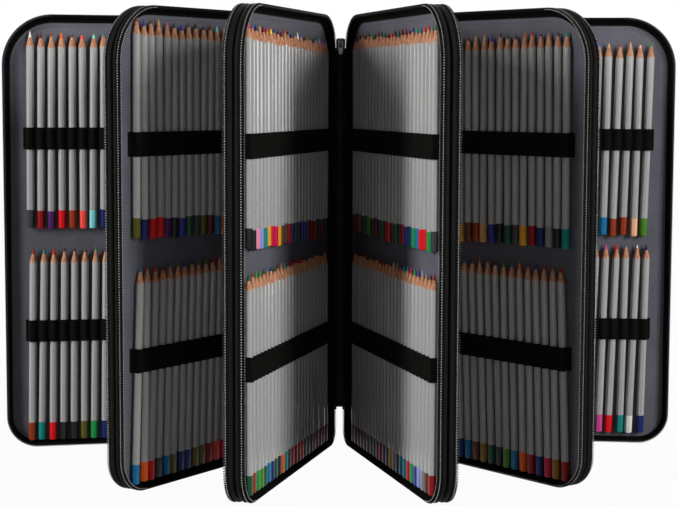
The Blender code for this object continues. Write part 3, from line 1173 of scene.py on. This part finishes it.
@dataclass(frozen=True)
class Pencil:
    """A sharpened hexagonal pencil, standing on its dipped end."""

    flats: float = 6.0 * MM
    length: float = 170.15 * MM
    cone: float = 13.0 * MM
    dip: float = 15.9 * MM
    edge: float = 0.9 * MM
    edge_steps: int = 4
    past_tip: float = 0.9 * MM
    point: float = 0.3 * MM
    # Rounding of the dipped end: share of the section, and height
    end_rings: tuple = ((0.55, 0.0), (0.86, 0.35 * MM), (1.0, 1.3 * MM))
    # Finish number of each band between two rings: enamel, lacquer, cedar, lead
    band_finishes: tuple = (0, 0, 0, 1, 2, 3)

    def hexagon(self) -> np.ndarray:
        """Section with rounded corners of radius edge, and one point in the middle of each flat."""
        apothem = self.flats / 2
        centre = (apothem - self.edge) / math.cos(math.pi / 6)
        points = []
        for flat in range(6):
            turn = math.pi / 3 * flat + math.pi / 2
            points.append((apothem * math.cos(turn), apothem * math.sin(turn)))
            middle = (centre * math.cos(turn + math.pi / 6), centre * math.sin(turn + math.pi / 6))
            for step in range(self.edge_steps + 1):
                way = turn + math.pi / 3 * step / self.edge_steps
                points.append((middle[0] + self.edge * math.cos(way), middle[1] + self.edge * math.sin(way)))
        return np.array(points)

    def mesh(self, lead: float, worn: float) -> tuple[np.ndarray, list, list, np.ndarray]:
        """The pencil's mesh.

        Args:
            lead: Radius of the lead where it leaves the wood.
            worn: Radius to which its point is worn.

        Returns:
            Points as (across, rise, height), faces, the finish number of each face, and for
            each point whether it belongs to the dipped end.
        """
        hexagon = self.hexagon()
        count = len(hexagon)
        radii = np.linalg.norm(hexagon, axis=1)
        slope = (self.flats / 2) / self.cone
        circle = hexagon / radii[:, None]
        tip = self.length + self.past_tip
        rings = [(hexagon * share, np.full(count, height)) for share, height in self.end_rings]
        rings += [
            (hexagon, np.full(count, self.dip)),
            (hexagon, tip - radii / slope),
            (circle * lead, np.full(count, tip - lead / slope)),
            (circle * worn, np.full(count, tip - worn / slope)),
        ]
        points = [np.column_stack((ring, height)) for ring, height in rings]
        top = tip - worn / slope + self.point
        points = np.vstack(points + [np.array(((0, 0, 0), (0, 0, top)))])
        faces, finishes = [], []
        following = [(i, (i + 1) % count) for i in range(count)]
        for band, finish in enumerate(self.band_finishes):
            a, b = band * count, (band + 1) * count
            faces += [(a + i, a + j, b + j, b + i) for i, j in following]
            finishes += [finish] * count
        low, high = len(points) - 2, len(points) - 1
        last = (len(rings) - 1) * count
        for i, j in following:
            faces += [(low, j, i), (high, last + i, last + j)]
            finishes += [0, 3]
        dipped = np.zeros(len(points), bool)
        dipped[: (len(self.end_rings) + 1) * count] = True
        dipped[low] = True
        return points, faces, finishes, dipped


@dataclass
class PencilRows:
    """The upper and the lower row of pencils on one side of a leaf."""

    side: Side
    rng: np.random.Generator
    pencil: Pencil = field(default_factory=Pencil)
    count: int = 24
    pitch: float = 9 * MM
    outermost: float = 240.5 * MM
    middle_depth: float = 4.75 * MM
    # Drawn at random: the lead's radius in mm, its share left at the point, roll and tilt in degrees
    leads: tuple = (0.95, 1.6)
    wear: tuple = (0.15, 0.6)
    roll: float = 4.0
    tilt: float = 0.45
    # Height of each row's ends, most that a pencil stands out of line, and height of the row's band
    bottoms: dict = field(default_factory=lambda: {"bottom": 5.9 * MM, "top": 191.35 * MM})
    uneven: dict = field(default_factory=lambda: {"bottom": 0.3 * MM, "top": 0.9 * MM})
    bands: dict = field(default_factory=lambda: {"bottom": 102.98 * MM, "top": 271.03 * MM})

    def colours(self, named: str) -> list[PencilColour]:
        """Colours of a row: the named ones first, then a shuffled set.

        Args:
            named: Names of colours, from the outer end.

        Returns:
            One colour a pencil, from the outer end.
        """
        first = [PencilColour[word.upper()] for word in named.split()]
        rest = list(PencilColour)
        order = self.rng.permutation(len(rest))
        return (first + [rest[i] for i in order] * 2)[: self.count]

    def placed(self, points: np.ndarray, where: str, index: int, stance: Stance) -> np.ndarray:
        """Stands one pencil in its row, a little rolled, leaning and lifted.

        Args:
            points: The pencil's points as (across, rise, height).
            where: "bottom" or "top".
            index: Number of the pencil from the outer end.
            stance: How its row stands.

        Returns:
            The points as (reach, height, rise) of the side.
        """
        roll = math.radians(self.rng.uniform(-self.roll, self.roll))
        tilt = math.radians(stance.lean + self.rng.uniform(-self.tilt, self.tilt))
        share = index / (self.count - 1)
        lift = (stance.outer + (stance.spine - stance.outer) * share) * MM
        lift += self.rng.uniform(-1, 1) * self.uneven[where]
        across = points[:, 0] * math.cos(roll) - points[:, 1] * math.sin(roll)
        rise = points[:, 0] * math.sin(roll) + points[:, 1] * math.cos(roll)
        height = points[:, 2] + self.bottoms[where] + lift
        reach = self.outermost - index * self.pitch + across - (height - self.bands[where]) * math.tan(tilt)
        return np.column_stack((reach, height, rise - self.middle_depth))

    def build(self) -> Object:
        """Builds all the pencils of this side as one mesh."""
        shape = Shape()
        everything, tints, first = [], [], 0
        for where in self.bottoms:
            row = f"{self.side.label}_{where}"
            dips = self.colours(DIPS.get(row, ""))
            tips = self.colours(TIPS[row]) if row in TIPS else dips
            stance = STANCES.get(row, Stance())
            for index in range(self.count):
                lead = self.rng.uniform(*self.leads) * MM
                worn = lead * self.rng.uniform(*self.wear)
                points, faces, finishes, dipped = self.pencil.mesh(lead, worn)
                everything.append(self.placed(points, where, index, stance))
                dip, tip = linear(dips[index].value), linear(tips[index].value)
                tints.append(np.where(dipped[:, None], np.array(dip), np.array(tip)))
                shape.faces += [tuple(first + i for i in face) for face in faces]
                shape.finishes += finishes
                first += len(points)
        shape.points = self.side.world(np.vstack(everything)).tolist()
        shape.runs = [((0.0, 0.0),) * len(face) for face in shape.faces]
        shape.tints = np.vstack(tints)
        materials = [finish.material() for finish in (ENAMEL, LACQUER, CEDAR, LEAD)]
        made = shape.object(f"pencil_set_{self.side.label}", materials, smooth_to=24)
        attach(made, self.side.body)
        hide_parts(f"pencils_{self.side.label}")
        return made


@dataclass
class ElasticBand:
    """An elastic band across a row: it arches over each pencil and is sewn down at both ends."""

    side: Side
    where: str
    rows: PencilRows
    width: float = 19 * MM
    thickness: float = 0.45 * MM
    crest: float = 0.25 * MM
    sag: float = 2.0 * MM
    end_sag: float = 0.15 * MM
    slack: float = 0.7 * MM
    clearance: float = 0.2 * MM
    shoulder: float = 0.6 * MM
    steps: int = 8
    foot: float = 2.4 * MM

    def centre_line(self) -> np.ndarray:
        """Outer surface of the band, as (reach, depth), from the spine end to the outer end."""
        half = self.rows.pencil.flats / 2 + self.slack
        low = self.rows.outermost - (self.rows.count - 1) * self.rows.pitch - half
        high = self.rows.outermost + half
        floor = TRAY - self.clearance - self.thickness
        # From the sewn foot up to the flank of the last pencil: distance out past it, and depth
        end = [(self.foot, floor), (0.5 * MM, floor), (0.1 * MM, floor - self.shoulder)]
        end += [(-0.05 * MM, 3.2 * MM), (-0.5 * MM, 1.2 * MM)]
        line = [(low - out, depth) for out, depth in end]
        total = (self.rows.count - 1) * self.steps
        for i in range(-self.steps // 2 + 1, total + self.steps // 2):
            reach = low + half + i * self.rows.pitch / self.steps
            swing = 0.5 - 0.5 * math.cos(2 * math.pi * i / self.steps)
            sag = self.sag * swing**1.5 if 0 <= i <= total else self.end_sag * swing
            if low + self.shoulder < reach < high - self.shoulder:
                line.append((reach, self.crest + sag))
        line += [(high + out, depth) for out, depth in reversed(end)]
        return np.array(line)

    def section(self) -> list[tuple[float, float]]:
        """Section with rounded selvedges, as height from the middle and share of the thickness."""
        half, lip, nick = self.width / 2, 0.5 * MM, 0.15 * MM
        outside = [(half, 0.5), (half - nick, 0.1), (half - lip, -0.1), (half - 3 * lip, 0.0)]
        outside += [(0.0, 0.0)] + [(-height, share) for height, share in reversed(outside)]
        return outside + [(lip - half, 1.0), (0.0, 1.0), (half - lip, 1.0)]

    def build(self) -> Object:
        """Skins the band."""
        line, section = self.centre_line(), self.section()
        outwards = right_of(line)
        middle = self.rows.bands[self.where]
        rings = []
        for height, share in section:
            offset = line - outwards * share * self.thickness
            rings.append(np.column_stack((offset[:, 0], np.full(len(line), middle + height), -offset[:, 1])))
        across = lengths(np.array(section) * (1.0, self.thickness), closed=True)
        shape = Shape()
        shape.sweep(self.side.grid(rings), lengths(line, closed=False), across)
        row = f"{self.side.label}_{self.where}"
        made = shape.object(f"elastic_band_{row}", [ELASTIC.material()], smooth_to=50)
        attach(made, self.side.body)
        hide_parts(f"elastic_{self.side.label}_{self.where}")
        return made


# ---------------------------------------------------------------- covers and linings


@dataclass
class Cover:
    """A stiff padded cover: the black outer shell with its piped edge, and the grey lining inside."""

    side: Side
    node: str
    crown: float = 0.9 * MM
    # Inset and depth in mm of each ring, from the inside to the back
    body_rings: tuple = (
        (5.0, 8.95),
        (2.9, 8.80),
        (1.9, 8.85),
        (1.35, 9.25),
        (1.30, 9.80),
        (1.75, 10.30),
        (2.6, 10.45),
        (3.3, 10.15),
        (4.0, 10.35),
        (6.0, 10.75),
    )
    lining_rings: tuple = ((5.35, 8.80), (5.30, 8.25), (5.6, 8.20))
    # How far the last ring is drawn in, and its share of the crown there
    crown_shares: tuple = ((0.93, 0.45), (0.82, 0.75), (0.6, 0.95), (0.3, 1.0))

    def ring(self, inset: float, depth: float, shrink: float = 1.0) -> np.ndarray:
        """A ring at an inset and a depth, drawn in towards the middle of the leaf by a share."""
        rim, inward = OUTLINE.rim()
        line = rim + inward * inset
        centre = np.array((OUTLINE.hinge_reach + OUTLINE.width / 2, OUTLINE.height / 2))
        return raised(centre + (line - centre) * shrink, -depth)

    def build_panel(self, name: str, rings: list[np.ndarray], finish: Finish) -> Object:
        """Skins rings, from the inside to the outside, and closes both ends."""
        shape = Shape()
        shape.stack(self.side.grid(rings))
        return shape.object(name, [finish.material()], smooth_to=50)

    def build(self) -> list[Object]:
        """Builds the shell and the lining."""
        rings = [self.ring(inset * MM, depth * MM) for inset, depth in self.body_rings]
        inset, depth = self.body_rings[-1]
        for shrink, share in self.crown_shares:
            rings.append(self.ring(inset * MM, depth * MM + self.crown * share, shrink))
        shell = self.build_panel(f"{self.node}_shell", rings, COVER_SKIN)
        inner = [self.ring(inset * MM, depth * MM) for inset, depth in self.lining_rings]
        lining = self.build_panel(f"{self.node}_lining", inner, LINING)
        for piece in (shell, lining):
            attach(piece, self.side.body)
            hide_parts(self.node)
        return [shell, lining]


@dataclass
class LiningSeam:
    """The row of stitches that holds the lining to its board, just inside the zip's tape."""

    side: Side
    repeater: PathRepeater
    stitch: Object
    inset: float = 10.5 * MM
    pitch: float = 3.2 * MM

    def build(self) -> Object:
        """Repeats the stitch round the lining."""
        rim, inward = OUTLINE.rim()
        path = raised(rim + inward * self.inset, -TRAY)
        mesh = self.repeater.run(path, True, self.stitch, THREAD_WITH_PAINTED_SHADE.material(), self.pitch, unevenness=0.05)
        place_on_side(mesh, self.side)
        made = link(f"lining_stitches_{self.side.label}", mesh, smooth_to=60)
        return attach(made, self.side.body)


# ---------------------------------------------------------------- spine


@dataclass
class SpineFold(Place):
    """The soft back wall of a compartment: a rounded fold from one rim to the other."""

    compartment: int
    radius: float = 5.6 * MM
    thickness: float = 0.8 * MM
    seam_depth: float = 0.9 * MM
    bottom: float = 30 * MM
    top: float = 350 * MM
    hem: float = 1.1 * MM
    seam_gap: float = 0.3 * MM
    # From the seam in to the round: share of the way that is left, and degrees past the leaf
    neck: tuple = ((0.62, 15), (0.3, 28))
    round_from: float = 42.0
    round_steps: int = 22

    @property
    def opening(self) -> float:
        """Half of the angle between the two leaves, in radians."""
        return math.radians(HEADINGS[self.compartment] - HEADINGS[self.compartment - 1]) / 2

    @property
    def axes(self) -> tuple[np.ndarray, np.ndarray]:
        """Plan directions out along the line midway between the two leaves, and aside to its right."""
        return plan_axes((HEADINGS[self.compartment] + HEADINGS[self.compartment - 1]) / 2)

    def world(self, points: np.ndarray) -> np.ndarray:
        """Places points of the fold's own frame, whose x runs along its middle line."""
        out, aside = self.axes
        plan = HINGES[self.compartment] + points[:, :1] * out + points[:, 1:2] * aside
        return np.column_stack((plan, points[:, 2]))

    def centre_line(self) -> np.ndarray:
        """Plan of the fold's middle surface, from one seam to the other."""
        reach = OUTLINE.hinge_reach - self.seam_gap
        half = [(reach, self.opening + math.atan2(self.seam_depth, reach))]
        start = self.opening + math.radians(self.round_from)
        for share, turn in self.neck:
            half.append((self.radius + (reach - self.radius) * share, self.opening + math.radians(turn)))
        for step in range(self.round_steps + 1):
            half.append((self.radius, start + (math.pi - start) * step / self.round_steps))
        line = [(r * math.cos(t), r * math.sin(t)) for r, t in half]
        return np.array(line + [(x, -y) for x, y in line[-2::-1]])

    def section(self) -> list[tuple[float, float]]:
        """Outer half of the section, as height and share of half the thickness, thicker at the hems."""
        lower = [(0.0, 0.4), (0.3 * MM, 1.0), (4 * self.hem, 1.0), (5 * self.hem, 0.72)]
        upper = [(self.top - height, share) for height, share in reversed(lower)]
        return [(self.bottom + height, share) for height, share in lower] + upper

    def build(self) -> Object:
        """Skins the fold, with hems at its top and bottom, rounded between its two leaves."""
        line, outer = self.centre_line(), self.section()
        out = right_of(line)
        rings = []
        for height, share in outer + [(height, -share) for height, share in reversed(outer)]:
            rings.append(raised(line + out * share * (self.thickness / 2), height))
        shape = Shape()
        shape.sweep(self.grid(rings), lengths(line, closed=False))
        made = shape.object(f"spine_fold_{self.compartment}", [FOLD_SKIN.material()], smooth_to=50)
        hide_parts(f"spine_strip_{self.compartment}")
        middle = (self.bottom + self.top) / 2
        ends = self.world(np.array(((*line[0], middle), (*line[-1], middle))))
        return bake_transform(made)


@dataclass
class SliderAndPull:
    """A zip slider at the top of the spine fold, and the pull that hangs on its bridge."""

    fold: SpineFold
    foot: float = 349 * MM
    height: float = 10 * MM
    width: float = 8.4 * MM
    foot_width: float = 8.0 * MM
    back: float = -2.5 * MM
    front: float = 2.1 * MM
    plate: float = 1.0 * MM
    flange: float = 2.0 * MM
    bridge_width: float = 1.6 * MM
    bridge_thickness: float = 0.4 * MM
    bridge_low: float = 2.4 * MM
    bridge_high: float = 9.1 * MM
    pivot: tuple = (3.0 * MM, 355.7 * MM)
    pull_width: float = 4.0 * MM
    pull_length: float = 10.8 * MM
    pull_bar: float = 0.45 * MM
    window_width: float = 2.6 * MM
    window_length: float = 4.6 * MM
    sharp: float = 35.0

    def prism(self, shape: Shape, outline: list[tuple], low: float, high: float) -> None:
        """Adds a closed outline in (aside, height) with a thickness along the middle line."""
        shape.stack(self.fold.grid([[(x, y, z) for y, z in outline] for x in (low, high)]))

    def plate_outline(self) -> list[tuple]:
        """Outline of a slider's plate: shoulders that narrow to a waist and a rounded top."""
        half, foot = self.width / 2, self.foot_width / 2
        side = [
            (foot * 0.72, 0.0),
            (foot, 0.7 * MM),
            (half * 0.90, 0.45 * self.height),
            (half, 0.72 * self.height),
            (half * 0.86, 0.93 * self.height),
            (half * 0.55, self.height),
        ]
        line = [(y, self.foot + z) for y, z in side]
        return line + [(-y, z) for y, z in reversed(line)]

    def eased(self, name: str, shape: Shape, finish: Finish, bevel: float) -> Object:
        """Makes an object of closed parts and eases its edges.

        Args:
            name: Name of the piece.
            shape: Closed parts, which may run into each other.
            finish: Finish of the piece.
            bevel: Width of the eased edges in metres.

        Returns:
            The piece with its edges applied.
        """
        made = shape.object(name, [finish.material()], self.sharp)
        modifier = made.modifiers.new("eased_edges", "BEVEL")
        modifier.width = bevel
        modifier.segments = 2
        modifier.limit_method = "ANGLE"
        modifier.angle_limit = math.radians(self.sharp)
        mesh = baked(made)
        made.modifiers.clear()
        made.data = mesh
        soften(mesh, smooth_to=50)
        return made

    def build_slider(self) -> Object:
        """Two plates, the post that parts the coils, their turned-in flanges and the bridge."""
        shape, outline = Shape(), self.plate_outline()
        inner_back, inner_front = self.back + self.plate / 2, self.front - self.plate / 2
        self.prism(shape, outline, self.back, self.back + self.plate)
        self.prism(shape, outline, self.front - self.plate, self.front)
        # Post and flanges: aside in mm, and share of the height
        post = ((0.0, 0.35), (1.3, 0.62), (0.9, 0.92), (-0.9, 0.92), (-1.3, 0.62))
        line = [(y * MM, self.foot + z * self.height) for y, z in post]
        self.prism(shape, line, inner_back, inner_front)
        flange = ((0.9, 0.05), (0.45, 0.05), (0.15, 0.6), (0.5, 0.9), (1.0, 0.9))
        for way in (-1, 1):
            line = [(way * (self.width / 2 - y * MM), self.foot + z * self.height) for y, z in flange]
            self.prism(shape, line, inner_back, self.back + self.flange)
            self.prism(shape, line, self.front - self.flange, inner_front)
        self.bridge(shape)
        made = self.eased(f"slider_body_{self.fold.compartment}", shape, SLIDER_METAL, 0.22 * MM)
        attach(made, f"slider_{self.fold.compartment}")
        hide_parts(f"slider_{self.fold.compartment}")
        return made

    def bridge(self, shape: Shape) -> None:
        """Adds the arch over the front plate that the pull's bar sits behind."""
        low, high, root = self.bridge_low, self.bridge_high, self.front - 0.5 * MM
        # Out from the middle line, and up from the slider's foot
        path = [(root, low + 0.5 * MM), (3.6 * MM, low + 0.5 * MM), (4.3 * MM, low + 1.5 * MM)]
        path += [(4.3 * MM, high - 1.7 * MM), (3.6 * MM, high - 0.5 * MM), (root, high - 0.5 * MM)]
        line = np.array(path)
        out, half = right_of(line), self.bridge_width / 2
        rings = []
        for share, y in ((1, -half), (1, half), (-1, half), (-1, -half)):
            offset = line + out * share * self.bridge_thickness
            rings.append([(x, y, self.foot + z) for x, z in offset])
        shape.sweep(self.fold.grid(rings))

    def build_pull(self) -> Object:
        """A flat tab with a window at its top, whose upper bar passes behind the bridge."""
        depth, height = self.pivot
        half, bar, window = self.pull_width / 2, self.pull_bar, self.window_width / 2
        outer = [
            (half - 0.7 * MM, bar),
            (half, bar - 0.6 * MM),
            (half, -5.6 * MM),
            (half - 0.15 * MM, -self.pull_length + 1.0 * MM),
            (half - 0.9 * MM, -self.pull_length),
        ]
        inner = [
            (window - 0.3 * MM, -bar),
            (window, -bar - 0.3 * MM),
            (window, -bar - self.window_length + 0.4 * MM),
            (window - 0.2 * MM, -bar - self.window_length + 0.15 * MM),
            (window - 0.5 * MM, -bar - self.window_length),
        ]
        outer, inner = (line + [(-y, z) for y, z in reversed(line)] for line in (outer, inner))
        rings = []
        for line, x in ((outer, -bar), (outer, bar), (inner, bar), (inner, -bar)):
            rings.append([(depth + x, y, height + z) for y, z in line])
        shape = Shape()
        shape.skin(self.fold.grid(rings), [0] * 4, True, True)
        made = self.eased(f"pull_tab_{self.fold.compartment}", shape, PULL_METAL, 0.16 * MM)
        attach(made, f"pull_{self.fold.compartment}")
        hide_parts(f"pull_{self.fold.compartment}")
        return made


# ---------------------------------------------------------------- studio


@dataclass(frozen=True)
class Lamp:
    """A soft box: its place, its width and height in metres, and its power in watts."""

    name: str
    place: tuple
    size: tuple
    power: float


LAMPS = (
    Lamp("lamp_left", (-1.87, -1.24, 0.95), (0.5, 1.3), 52),
    Lamp("lamp_right", (1.65, -1.56, 0.98), (0.65, 1.1), 51),
    Lamp("lamp_front", (0.1, -2.4, 0.75), (0.3, 0.3), 1),
    Lamp("lamp_above", (0.0, 0.3, 2.1), (1.6, 1.0), 1.5),
    Lamp("lamp_behind", (0.0, 2.3, 1.0), (1.4, 0.8), 30),
)


@dataclass
class Studio:
    """Plain floor, soft lamps, pale surroundings and the camera."""

    lens: float = 88.25
    sensor: float = 36.0
    eye: tuple = (-8.99 * MM, -1359.26 * MM, 308.99 * MM)
    yaw: float = 0.29
    pitch: float = 5.406
    roll: float = 0.2
    surround: float = 0.015
    floor_reach: float = 12.0
    floor_drop: float = 0.2 * MM
    clip_end: float = 60.0
    lamps_target: tuple = (0.0, 0.0, 0.19)

    def build_floor(self) -> None:
        """A wide plane of white paper under the case."""
        mesh = bpy.data.meshes.new("studio_floor")
        corners = ((-1, -1), (1, -1), (1, 1), (-1, 1))
        points = [(self.floor_reach * x, self.floor_reach * y, 0) for x, y in corners]
        mesh.from_pydata(points, [], [range(4)])
        mesh.materials.append(PAPER.material())
        floor = in_scene("studio_floor", mesh)
        floor.location.z = -self.floor_drop
        floor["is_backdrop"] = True

    def build_surroundings(self) -> None:
        """White where the camera or a reflection looks past the floor, dim soft light elsewhere."""
        world = bpy.data.worlds.new("studio_air")
        bpy.context.scene.world = world
        world.use_nodes = True
        tree = world.node_tree
        tree.nodes.clear()
        shades = {0: seen_rays(tree)}
        for slot, strength in ((1, self.surround), (2, 1.0)):
            white = {"Color": (1.0, 1.0, 1.0, 1.0), "Strength": strength}
            shades[slot] = add(tree, "ShaderNodeBackground", white).outputs[0]
        both = add(tree, "ShaderNodeMixShader", shades)
        add(tree, "ShaderNodeOutputWorld", {"Surface": both.outputs[0]})

    def build_lamp(self, lamp: Lamp) -> None:
        """Sets up one soft box that points at the case."""
        data = bpy.data.lights.new(lamp.name, "AREA")
        data.shape = "RECTANGLE"
        data.size, data.size_y = lamp.size
        data.energy = lamp.power
        holder = in_scene(lamp.name, data)
        holder.location = lamp.place
        way = Vector(self.lamps_target) - Vector(lamp.place)
        holder.rotation_euler = way.to_track_quat("-Z", "Y").to_euler()

    def build_camera(self) -> None:
        """The camera at the photograph's place, level but for a slight look down."""
        data = bpy.data.cameras.new("photo_camera")
        data.sensor_fit = "HORIZONTAL"
        data.sensor_width = self.sensor
        data.lens = self.lens
        data.clip_end = self.clip_end
        camera = in_scene("photo_camera", data)
        camera.location = self.eye
        yaw, pitch = math.radians(self.yaw), math.radians(self.pitch)
        ahead = Vector((math.sin(yaw) * math.cos(pitch), math.cos(yaw) * math.cos(pitch), -math.sin(pitch)))
        level = ahead.to_track_quat("-Z", "Y").to_matrix()
        camera.rotation_euler = (level @ Matrix.Rotation(math.radians(self.roll), 3, "Z")).to_euler()
        bpy.context.scene.camera = camera

    def build(self) -> None:
        """Builds the whole studio."""
        self.build_floor()
        self.build_surroundings()
        for lamp in LAMPS:
            self.build_lamp(lamp)
        self.build_camera()
        bpy.context.scene.view_settings.view_transform = "Standard"


# ---------------------------------------------------------------- whole


def dress_boards() -> None:
    """Gives the CAD's divider boards the lining's leatherette."""
    for number in range(1, 5):
        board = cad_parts[f"divider_{number}"]
        board.data.materials.clear()
        board.data.materials.append(LINING.material())


def count_faces() -> int:
    """Triangles of all the pieces."""
    total = 0
    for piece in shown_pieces():
        if piece.type == "MESH":
            piece.data.calc_loop_triangles()
            total += len(piece.data.loop_triangles)
    return total


def main() -> None:
    """Builds every sub-assembly in order and reports it."""
    logging.basicConfig(level=logging.INFO, format="%(name)s: %(message)s")
    studio = Studio()
    studio.build()
    dress_boards()
    zip_repeater = PathRepeater("coil_along_rim")
    seam_repeater = PathRepeater("stitches_along_seam")
    tooth, glint_pads, stitch = coil_tooth(), coil_stitches(), lining_stitch()
    for number, side in enumerate(all_sides()):
        node = f"zip_{side.label}"
        if side.on_cover:
            node = "left_cover" if side.leaf == 1 else "right_cover"
            Cover(side, node).build()
        ZipHalf(side, zip_repeater, tooth, glint_pads).build(node)
        LiningSeam(side, seam_repeater, stitch).build()
        rows = PencilRows(side, np.random.default_rng(300 + number))
        rows.build()
        for where in rows.bottoms:
            ElasticBand(side, where, rows).build()
        log.info("side %s on %s", side.label, side.body)
    for compartment in range(1, len(HEADINGS)):
        fold = SpineFold(compartment)
        fold.build()
        zipper = SliderAndPull(fold)
        zipper.build_slider()
        zipper.build_pull()
        log.info("spine of compartment %d", compartment)
    for helper in (tooth, glint_pads, stitch):
        bpy.data.objects.remove(helper, do_unlink=True)
    log.info("%d triangles", count_faces())


if __name__ == "__main__":
    main()
